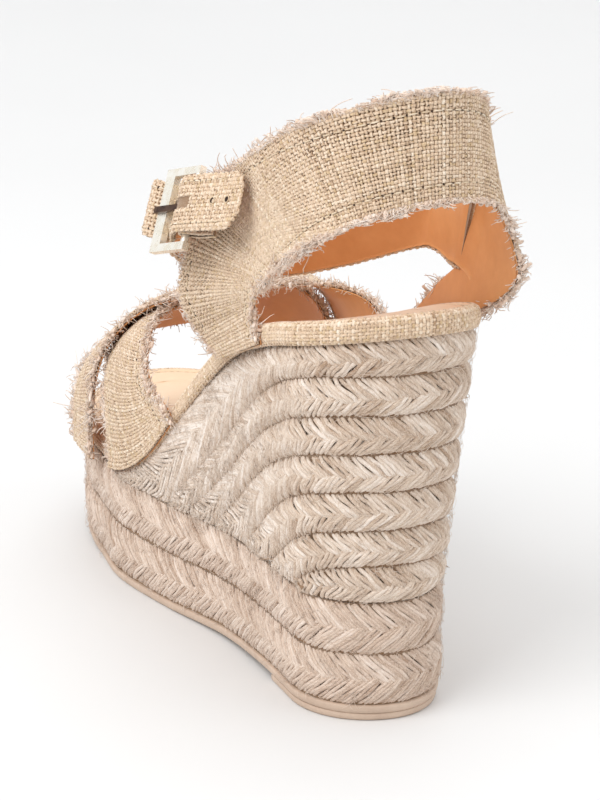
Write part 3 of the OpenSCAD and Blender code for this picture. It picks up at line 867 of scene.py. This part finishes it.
def arch(y, a, up):
    """Point on the boxy arch over the forefoot."""
    side = np.where(a < 90, -1.0, 1.0)
    base = seat(y) + FOOT_RISE
    ar, n = np.radians(a), np.where(a < 90, ARCH_LATERAL, ARCH_MEDIAL)
    c = np.abs(np.cos(ar)) ** (2 / n)
    h = np.maximum(np.sin(ar), 0) ** (2 / n)
    shrink = np.where(y > TOE_C, np.sqrt(np.maximum(0, 1 - ((y - TOE_C) / TOE_A) ** 2)), 1.0)
    w = half_w(side, np.minimum(y, TOE_C), 1.0) * shrink
    x = side * (w + up) * c
    z = base + (spline(CREST_Y, CREST_Z, y) + LEAN * x - base + up) * h
    return np.stack([x, y, z], -1)


def vamp_sheet(rear, front, lift):
    # The arch turns quickly at its shoulders, so its stations crowd there
    t = np.linspace(0, 1, 181)
    a = 180 * t
    v = np.linspace(0, 1, 9)[None, :]
    y = lerp(spline(EDGE_T, rear, t)[:, None], spline(EDGE_T, front, t)[:, None], v)
    return Sheet(arch(y, a[:, None] * np.ones_like(v), LINING_T + 5 * GAP + lift))


HEEL_KEYS = [
    [[-33.4, 4, 113.2], [-31.6, 38, 99]], [[-33.4, 8, 124], [-35.5, 46, 105]],
    [[-33.6, 2, 132], [-41, 49, 119.5]], [[-33, -9, 140], [-31.5, 50, 148.5]],
    [[-32, -20, 147], [-32, 28, 161]], [[-28, -30, 154], [-31, -4, 178]],
    [[-17, -38, 161], [-22, -29, 190]], [[2, -42, 165], [2, -39.5, 196]],
    [[20, -38, 162], [21, -29, 190]], [[29, -34, 151], [28, -14, 175]],
    [[33, -32, 137], [31.5, -8, 156]], [[31.5, -21, 126.5], [31, -4, 138]],
    [[28.5, -9, 119.5], [29.5, 16, 121]], [[28.2, -5, 116.4], [27.4, 42, 97]]]
STITCH_IN = 5.0
PITCH, STRAP_PITCH = 1.12, 1.25

# Shares of the heel band's front edge that are frayed: the strap leaves between them
STRAP_GAP = ((0.0, 0.8), (0.905, 1.0))

bands = {
    "vamp_band_under": vamp_sheet([76, 91, 102, 113, 117, 111, 104],
                                  [114, 124, 133, 141, 150, 153, 152], 0),
    "vamp_band_over": vamp_sheet([126, 128, 127, 117, 84, 63, 54],
                                 [148, 150, 150, 145, 127, 114, 108],
                                 LINING_T + FABRIC_T + 8 * GAP),
    "heel_band": band_sheet(HEEL_KEYS, 260),
}
for name, sheet in bands.items():
    bag = Bag()
    add_weave(bag, sheet, PITCH, margin=0.5, groove=[STITCH_IN])
    add_shade_backing(bag, sheet, -0.45, -0.05, 160, 14)
    for edge in (-1, 1):
        add_stitches(bag, sheet, STITCH_IN, edge, 0.95, mat=2, hole=3)
    cloth = bag.build(f"{name}_cloth", [CLOTH, GAP_SHADE, THREAD, HOLE_SHADE])
    fringe = Bag()
    top = sheet.length - 2.0
    add_fray(fringe, sheet, -1, 1.1, 3.4, 2.0, top)
    for start, stop in STRAP_GAP if name == "heel_band" else ((0.0, 1.0),):
        add_fray(fringe, sheet, 1, 1.1, 3.4, max(2.0, start * top), stop * top)
    place_piece(cloth, "band_cloth", name)
    place_piece(fringe.build(f"{name}_fringe", [FRAY]), "band_cloth")
    add_lining(f"{name}_leather", sheet, f"{name}_lining")

# ---------- footbed ----------
ring_s = stations(36, 70, 50)
loop_side = np.concatenate([np.ones(len(ring_s)), -np.ones(len(ring_s) - 2)])
loop_s = np.concatenate([ring_s, ring_s[-2:0:-1]])


def bed_ring(off, rise):
    x, y = wall(loop_side, loop_s, 1.0, off)
    return np.stack([x, y, seat(y) + rise], -1)


def rim_sheet():
    grid = np.stack([bed_ring(0.0, GAP + (BED_H - GAP) * h) for h in np.linspace(0, 1, 5)], 1)
    return Sheet(np.concatenate([grid, grid[:1]]))


# Yarn pitch of the rim, and how far its yarns rise and fall
RIM_PITCH, WAVE = 1.08, 0.2


def add_rim():
    """Strip of band cloth folded round the edge of the footbed."""
    bag = Bag()
    sheet = rim_sheet()
    wefts = int(sheet.length / RIM_PITCH)
    step = sheet.length / wefts
    turn = np.linspace(0, 1, 16)
    # Section of the fold, from under the edge up and over on to the sock
    knots = [0, 0.12, 0.3, 0.6, 0.78, 0.9, 1]
    out = np.interp(turn, knots, [-0.9, -0.1, 0.35, 0.4, 0.05, -0.9, -2.1])
    rise = np.interp(turn, knots, [0.1, 0.4, 1.7, 4.1, 5.7, 6.45, 6.5])
    rows = len(turn) // 2
    u = (np.arange(wefts) + 0.5) * step
    tones = rng.normal(0, 0.45, wefts)
    foot = sheet.at(u, 0.0)
    normal = sheet.normal(u, 0.5)
    path = foot[:, None] + normal[:, None] * out[None, :, None]
    path[..., 2] += rise[None, :]
    cell = np.arange(wefts)[:, None] + np.arange(len(turn))[None, :] // 2
    wave = WAVE * np.where(cell % 2 == 0, 1, -1)
    flat = unit(np.gradient(path, axis=1))
    along = np.cross(np.broadcast_to(normal[:, None], path.shape), [0, 0, 1.0])
    up = unit(np.cross(flat, along))
    up = np.where((np.sum(up * normal[:, None], -1) < -0.3)[..., None], -up, up)
    add_tubes(bag, path + up * wave[..., None], up, step * 0.5, 0.34, 5, tones, 0)
    for k in range(rows):
        uu = np.linspace(0, sheet.length, 2 * wefts + 1)
        cell = (np.arange(len(uu)) // 2 + k) % 2
        o, r = np.interp((k + 0.5) / rows, turn, out), np.interp((k + 0.5) / rows, turn, rise)
        uu = np.clip(uu, 0, sheet.length - 1e-6)
        base = sheet.at(uu, 0.0)
        nn = sheet.normal(uu, 0.5)
        lift = WAVE * np.where(cell == 0, -1, 1)
        p = base + nn * (o + lift)[:, None]
        p[:, 2] += r
        add_tubes(bag, p[None], nn[None], 0.45, 0.33, 5, rng.normal(0, 0.4), 0, capped=False)
    # Dark core under the folded yarns, painted shade in the gaps between them
    rings = np.stack([bed_ring(o - 0.3, r) for o, r in zip(out, rise)], 1)
    core = np.stack([bed_ring(o - 0.9, max(r - 0.6, 0.1)) for o, r in zip(out, rise)], 1)
    rings, core = (np.concatenate([g, g[:1]]) for g in (rings, core))
    add_shell(bag, rings, core, 1.2, 1)
    return bag.build("footbed_rim", [CLOTH, GAP_SHADE])


place_piece(add_rim(), "band_cloth", "insole_binding")


def loop_skin(rings):
    """Points and quads of the skin over closed rings of equal length."""
    grid = np.stack(rings, 1)
    return grid, grid_faces(*grid.shape[:2], wrap=True)


def add_pad(bag, rings, fill_rows, profile):
    """Closed rings from the outside inwards, then a filled middle between the two sides."""
    grid, quads = loop_skin(rings)
    bag.add(grid, [quads])
    inner = rings[-1]
    half = len(ring_s)
    right = inner[:half]
    left = np.concatenate([inner[:1], inner[:half - 1:-1], inner[half - 1:half]])
    v = np.linspace(0, 1, fill_rows)[None, :]
    fill = left[:, None] * (1 - v[..., None]) + right[:, None] * v[..., None]
    fill[..., 2] += profile(fill, v)
    q = grid_faces(half, fill_rows)
    bag.add(fill, [q[:, ::-1]])


def sock():
    bag = Bag()
    top = BED_H - 0.35
    # Inset and height over the seat: rolled edge, sewn channel, then the crown
    steps = [(-1.5, top - 2.0), (-1.5, top), (-1.7, top + 0.35), (-2.3, top + 0.55),
             (-3.0, top + 0.5), (-3.4, top + 0.28), (-3.7, top - 0.05), (-4.0, top - 0.12),
             (-4.3, top - 0.05), (-4.7, top + 0.2), (-5.4, top + 0.32), (-7.0, top + 0.3),
             (-9.5, top + 0.1), (-13.0, top - 0.25)]

    def dish(p, v):
        return -0.3 * (1 - (2 * v - 1) ** 2) + 0.05 * np.sin(p[..., 1] * 0.21)

    add_pad(bag, [bed_ring(o, r) for o, r in steps], 12, dish)
    # Fine stitching in the channel round the sock
    ring = bed_ring(-3.95, top - 0.02)
    path = np.concatenate([ring, ring[:1]])
    seg = np.concatenate([[0], np.cumsum(np.linalg.norm(np.diff(path, axis=0), axis=1))])
    count = int(seg[-1] / 2.6)
    mid = (np.arange(count) + 0.5) * seg[-1] / count
    t = np.linspace(-0.5, 0.5, 5)[None, :] * 1.8
    where = mid[:, None] + t
    p = np.stack([np.interp(where, seg, path[:, k]) for k in range(3)], -1)
    p[..., 2] += 0.12 * np.cos(np.linspace(-1.5, 1.5, 5))[None, :]
    add_tubes(bag, p, np.broadcast_to([0, 0, 1.0], p.shape), 0.2, 0.2, 5, 0.0, 1)
    return bag.build("sock", [SOCK, THREAD])


place_piece(sock(), "sock_leather", "sock_lining")


# ---------- rubber ----------
def sole_ring(off, rise):
    x, y = wall(loop_side, loop_s, 0.0, off)
    return np.stack([x, y, under(y) + rise], -1)


def outsole():
    bag = Bag()
    section = [(-9.0, RUBBER_T), (-0.9, RUBBER_T), (-0.45, RUBBER_T - 0.2), (-0.35, RUBBER_T - 0.6),
               (-0.45, 1.3), (-0.7, 0.5), (-1.1, 0.12), (-1.8, 0.02), (-4.0, 0.02),
               (-4.3, 0.45), (-6.0, 0.45)]
    rings = [sole_ring(off, rise) for off, rise in section]

    def tread(p, v):
        wave = 0.5 + 0.5 * np.sin(p[..., 1] * 2 * np.pi / 4.2 + 2.4 * np.abs(p[..., 0]) * 0.25)
        return -0.4 * wave * (np.abs(2 * v - 1) < 0.95)

    add_pad(bag, rings, 14, tread)
    return bag.build("rubber_sole", [RUBBER])


place_piece(outsole(), "outsole_rubber", "rubber_outsole")


def heel_patch():
    bag = Bag()
    s = np.linspace(0, s_at(PAD_FRONT), 40)
    side = np.concatenate([np.ones(40), -np.ones(39)])
    ss = np.concatenate([s, s[:0:-1]])
    layers = [(-3.0, PAD_T), (-0.3, PAD_T), (-0.1, PAD_T - 0.3), (-0.12, 1.0), (-0.4, 0.35),
              (-0.9, 0.05), (-1.6, 0.0), (-3.5, 0.0), (-3.8, 0.35), (-6.0, 0.35)]
    rings = []
    for off, z in layers:
        x, y = wall(side, ss, 0.0, off - OVERHANG + 0.5)
        front = PAD_FRONT + off + 0.5
        rings.append(np.stack([x, np.minimum(y, front), np.full_like(x, z)], -1))
    grid, quads = loop_skin(rings)
    bag.add(grid, [quads])
    for ring, flip in ((rings[0], True), (rings[-1], False)):
        mid = np.concatenate([ring, ring.mean(0)[None]])
        n = len(ring)
        k = np.arange(n)
        tri = np.stack([k, (k + 1) % n, np.full(n, n)], -1)
        bag.add(mid, [tri if flip else tri[:, ::-1]])
    return bag.build("rubber_heel_pad", [RUBBER])


place_piece(heel_patch(), "outsole_rubber", "heel_pad")

# ---------- buckle and strap ----------
BAR_AT = np.array([-42.6, 36, 147.8])
BAR_TURN = (-18.5, 25.5, 5.9)


def bar_matrix():
    a, b, c = (math.radians(t) for t in BAR_TURN)
    return np.array(Matrix.Rotation(c, 3, "Z") @ Matrix.Rotation(b, 3, "Y")
                    @ Matrix.Rotation(a, 3, "X"))


BAR_M = bar_matrix()


def on_bar(v, u, n):
    """Point in buckle axes: v forwards, u along the hinge bar, n outwards."""
    v, u, n = np.broadcast_arrays(*[np.asarray(k, float) for k in (v, u, n)])
    return BAR_AT + np.stack([-n, v, u], -1) @ BAR_M.T


def strap_at(v, n, rise=0.0):
    """The strap's two edge points in buckle axes, rise mm along the bar from its middle."""
    return [on_bar(v, rise - STRAP_W / 2, n), on_bar(v, rise + STRAP_W / 2, n)]


# The fold behind the frame, where the free tip lifts, and half the length that bends
END_V, END_N, FOLD_HALF = -8, 3, 2.5
STRAP_KEYS = [
    [[29.2, 0, 131], [27.6, -14, 161.5]], [[30.4, 8.5, 130.5], [29.5, 3, 155.5]],
    [[30.2, 18, 132], [29, 13, 151.3]], [[28, 29, 130], [28, 22, 147]],
    [[10, 44, 122], [10.5, 37, 139]], [[-12, 54, 117.5], [-11, 50, 135.5]],
    [[-30, 61, 119], [-27, 60, 137]],
    strap_at(26, -5, rise=2.5), strap_at(25, -1, rise=2.5), strap_at(21.5, -0.4, rise=1.5),
    strap_at(17, -3.1, rise=0.6), strap_at(12, -3.3), strap_at(5, 1.2), strap_at(0, 3.6),
    strap_at(END_V, END_N), strap_at(-15, 2.2), strap_at(-21, 1.6), strap_at(-29.5, 1.2)]
strap = band_sheet(STRAP_KEYS, 320, 7)
heel = bands["heel_band"]


def heel_station(k):
    """Distance along the heel band of its k-th pair of points."""
    return heel.u[-1] * k / (len(HEEL_KEYS) - 1)


def inner_sheet():
    """Leather sheet of the strap, which runs on over the inside of the heel band."""
    w = np.linspace(0, 1, strap.p.shape[1])
    knots = [heel.at(heel_station(lerp(11.3, 9.3, w)), lerp(0.45, 0.5, w),
                     lerp(0.05, 0.5, w)),
             heel.at(heel_station(lerp(11.3, 9.5, w)), 0.8, lerp(-0.2, 0.1, w)),
             strap.p[6], strap.p[18]]
    knots = np.stack(knots).reshape(4, -1)
    t = np.linspace(0, 2, 30)[:-1]
    root = np.stack([spline([0, 1, 2, 3], col, t) for col in knots.T], 1)
    return Sheet(np.concatenate([root.reshape(len(t), -1, 3), strap.p[6:]]))


strap_inner = inner_sheet()
bar_uvn = (strap.p.reshape(-1, 3) - BAR_AT) @ BAR_M
strap_v = bar_uvn[:, 1].reshape(strap.p.shape[:2])[:, 3]
strap_top = strap.u[-1]
TIP_R = 7


def tip_round(x):
    """How far the rounded tip draws back, x mm from the strap's middle line."""
    return TIP_R - TIP_R * np.sqrt(
        np.maximum(0, 1 - np.clip((np.abs(x) - 2) / 7.5, 0, 1) ** 2))


def strap_bare(u, x):
    """No cloth in the prong's slot nor past the rounded tip."""
    v = np.interp(u, strap.u, strap_v)
    slot = (np.abs(x) < 1.5) & (v > -4.5) & (v < 9) & (u > strap_top - 60)
    return slot | (u > strap_top - tip_round(x))


def strap_piece():
    bag = Bag()
    add_weave(bag, strap, STRAP_PITCH, base=1.0, wave=0.24, wrap=1.15, bare=strap_bare)
    v = np.linspace(0.07, 0.93, 13)
    pull = tip_round((v - 0.5) * STRAP_W)
    # The first shell is dark, painted shade under the strap's weave; the second is its leather
    # lining
    for sheet, mat, n1, n0, short in ((strap, 1, 0.85, 0.0, 0.8),
                                      (strap_inner, 2, -0.1, -LINING_T, 3.0)):
        u = np.linspace(0, sheet.length - 0.5, 300)
        uu = np.minimum(u[:, None], sheet.length - short - pull[None, :])
        vv = np.broadcast_to(v[None, :], uu.shape)
        add_shell(bag, sheet.at(uu, vv, n1), sheet.at(uu, vv, n0), 0.0, mat)
    for edge in (-1, 1):
        add_stitches(bag, strap, 2.4, edge, 1.42, 4, strap_top - 8, 1.9, 0.8, 3, 4)
    # The free tip is a piece of its own, cut where it doesn't bend yet
    tip, rest = bag.split(lambda p: ((p - BAR_AT) @ BAR_M[:, 1] < END_V + 4) & (p[:, 0] < -10))
    materials = [CLOTH, GAP_SHADE, TAN, THREAD, HOLE_SHADE]
    return rest.build("ankle_strap_cloth", materials), tip.build("strap_tip_cloth", materials)


def bend_at_fold(ob):
    """Bakes the piece's placement into its mesh."""
    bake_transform(ob)


strap_cloth, tip_cloth = strap_piece()
place_piece(strap_cloth, "band_cloth", "ankle_strap", "ankle_strap_lining")
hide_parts("strap_end")
bend_at_fold(tip_cloth)


def strap_holes():
    """Punched holes along the strap, each with a pressed rim and a dark disc inside, painted shade.
    """
    bag = Bag()
    # Two holes on the free tip, and one in front of the buckle, just past the strap's bend
    tail = np.nonzero(strap.u > strap_top - 40)[0]
    rows = [np.interp(-v, -strap_v[tail], strap.u[tail]) for v in (-16, -23)]
    rows.append(strap.u[np.argmax(strap_v)] + 3.5)
    ang = np.linspace(0, 2 * np.pi, 25)[:-1]
    for u in rows:
        ringu, ringx = u + 1.05 * np.cos(ang), 1.05 * np.sin(ang)
        p = strap.at(ringu, 0.5 + ringx / STRAP_W, 1.62)
        p = np.concatenate([p, p[:2]])
        nn = strap.normal(np.append(ringu, ringu[:2]), np.append(0.5 + ringx / STRAP_W, [0.5, 0.5]))
        add_tubes(bag, p[None], nn[None], 0.2, 0.16, 6, -0.5, 0, capped=False)
        # Dark disc that fills the hole: painted shade
        disc_u = u + 0.95 * np.cos(ang)
        disc = strap.at(disc_u, 0.5 + 0.95 * np.sin(ang) / STRAP_W, 1.5)
        low = strap.at(disc_u, 0.5 + 0.95 * np.sin(ang) / STRAP_W, 0.9)
        n = len(ang)
        k = np.arange(n)
        co = np.concatenate([disc, low])
        side = np.stack([k, (k + 1) % n, (k + 1) % n + n, k + n], -1)
        bag.add(co, [side, k[None, :], (k[None, ::-1] + n)], None, 0.0, 1)
    return bag.build("strap_holes", [THREAD, HOLE_SHADE])


bend_at_fold(strap_holes())

# The loop's width, length and radius, and half the gap that it leaves for the prong
TAB_W, TAB_L, LOOP_R, PRONG_GAP = 17.0, 11.0, 2.3, 1.9


def outward_sheet(v, u, n, station):
    """Sheet in buckle axes, turned so that its normal at the station points outwards."""
    sheet = Sheet(on_bar(v[:, None], u, n[:, None]))
    if np.sum(sheet.normals[station] * -BAR_M[:, 0]) < 0:
        sheet = Sheet(on_bar(v[:, None], u[:, ::-1], n[:, None]))
    return sheet


def tab_piece():
    """Loop of band cloth that holds the hinge bar, split where the prong sits."""
    bag = Bag()
    turn = np.radians(np.linspace(90, -90, 15))
    mid = LOOP_R - 0.55
    v = np.concatenate([np.linspace(-TAB_L - 1, -1.2, 10), mid * np.cos(turn),
                        np.linspace(-1.2, -TAB_L, 8)])
    n = np.concatenate([np.interp(np.linspace(-TAB_L - 1, -1.2, 10), [-TAB_L - 1, -6, -1.2],
                                  [-2.2, -0.9, mid]), mid * np.sin(turn), np.interp(
        np.linspace(-1.2, -TAB_L, 8), [-TAB_L, -4, -1.2], [-3.4, -3.0, -mid])])
    for lo, hi in ((-TAB_W / 2, -PRONG_GAP), (PRONG_GAP, TAB_W / 2)):
        sheet = outward_sheet(v, np.linspace(lo, hi, 7)[None, :], n, (5, 3))
        add_weave(bag, sheet, STRAP_PITCH, base=0.3, wave=0.16, margin=0.1)
        add_shade_backing(bag, sheet, -0.1, 0.35, 60, 6)
    # Behind the prong's gap the two halves are one cloth
    first = np.nonzero(v < -5.2)[0][:6]
    sheet = outward_sheet(v[first], np.linspace(-2.2, 2.2, 5)[None, :], n[first], (1, 2))
    add_weave(bag, sheet, STRAP_PITCH, base=0.3, wave=0.16)
    add_shade_backing(bag, sheet, -0.1, 0.35, 10, 6)
    return bag.build("buckle_loop_cloth", [CLOTH, GAP_SHADE])


place_piece(tab_piece(), "band_cloth", "buckle_tab")

# ---------- CAD nodes that stay ----------
BUCKLE = {"buckle_frame": PALE_METAL_HIGHLIGHT, "buckle_prong": PRONG_DARK_REFLECTION}
for name, material in {**HIDDEN, **BUCKLE}.items():
    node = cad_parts[name]
    node.data.materials.clear()
    node.data.materials.append(material)
for name in BUCKLE:
    # The flat faces are cleaned up, then every sharp edge gets a small round
    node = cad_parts[name]
    flat = node.modifiers.new("flat", "DECIMATE")
    flat.decimate_type = "DISSOLVE"
    flat.angle_limit = math.radians(2)
    bevel = node.modifiers.new("edges", "BEVEL")
    bevel.width = 0.35 * MM
    bevel.segments = 3
    bevel.limit_method = "ANGLE"
    bevel.angle_limit = math.radians(40)
    node.modifiers.new("shade", "WEIGHTED_NORMAL")

# ---------- stage, light and camera ----------
def floor():
    """Pale sheet that lies flat under the shoe and curves up behind it."""
    n = Nodes("pale_floor")
    co = n.new("ShaderNodeTexCoord").outputs["Object"]
    cloud = n.noise(co, 3.0, 2.0)
    grey = n.ramp(cloud, [(0.3, (0.76, 0.76, 0.76)), (0.7, (0.78, 0.78, 0.78))])
    material = n.finish(Base_Color=grey, Roughness=0.6)
    bag = Bag()
    run = np.array([[-3000, 0], [400, 0], [600, 0], [800, 0], [1250, 20], [1500, 120],
                    [1650, 320], [1700, 600], [1700, 2600]], float)
    view = unit(np.array([0.448, 0.854]))
    across = np.array([view[1], -view[0]])
    x = np.linspace(-2600, 2600, 5)
    grid = [[np.append(view * d + across * k, z) for k in x] for d, z in run]
    bag.add(np.array(grid), [grid_faces(len(run), len(x))[:, ::-1]])
    ob = bag.build("backdrop", [material])
    smoothing = ob.modifiers.new("round", "SUBSURF")
    smoothing.levels = smoothing.render_levels = 3


floor()

world = bpy.data.worlds.new("studio")
bpy.context.scene.world = world
world.use_nodes = True
background = world.node_tree.nodes["Background"]
background.inputs["Color"].default_value = (0.99, 0.995, 1.0, 1)
background.inputs["Strength"].default_value = 0.8


def softbox(name, place, aim, size, power, colour=(1, 1, 1)):
    light = bpy.data.lights.new(name, "AREA")
    light.shape = "RECTANGLE"
    light.size, light.size_y = size
    light.energy = power
    light.color = colour
    ob = bpy.data.objects.new(name, light)
    bpy.context.scene.collection.objects.link(ob)
    ob.location = place
    ob.rotation_euler = (Vector(aim) - Vector(place)).to_track_quat("-Z", "Y").to_euler()


softbox("key", (-1.1, -0.35, 1.35), (0, 0.06, 0.08), (1.1, 1.1), 16)
softbox("top", (0.2, 0.4, 1.7), (0, 0.06, 0.05), (1.6, 1.6), 9)
softbox("fill", (1.2, -0.9, 0.8), (0, 0.05, 0.08), (1.2, 1.0), 3, (1.0, 0.97, 0.94))

CAMERA_AT = Vector((-0.3531, -0.7866, 0.3827))
AIM_AT = Vector((0.0016, 0.0558, 0.0755))
ROLL = 0.62
camera = bpy.data.cameras.new("camera")
camera.sensor_width = 36
camera.lens = 136
eye = bpy.data.objects.new("camera", camera)
bpy.context.scene.collection.objects.link(eye)
eye.location = CAMERA_AT
turn = (AIM_AT - CAMERA_AT).to_track_quat("-Z", "Y").to_matrix() @ Matrix.Rotation(
    math.radians(ROLL), 3, "Z")
eye.rotation_euler = turn.to_euler()
camera.clip_start, camera.clip_end = 0.05, 20
bpy.context.scene.camera = eye
bpy.context.scene.view_settings.view_transform = "Standard"
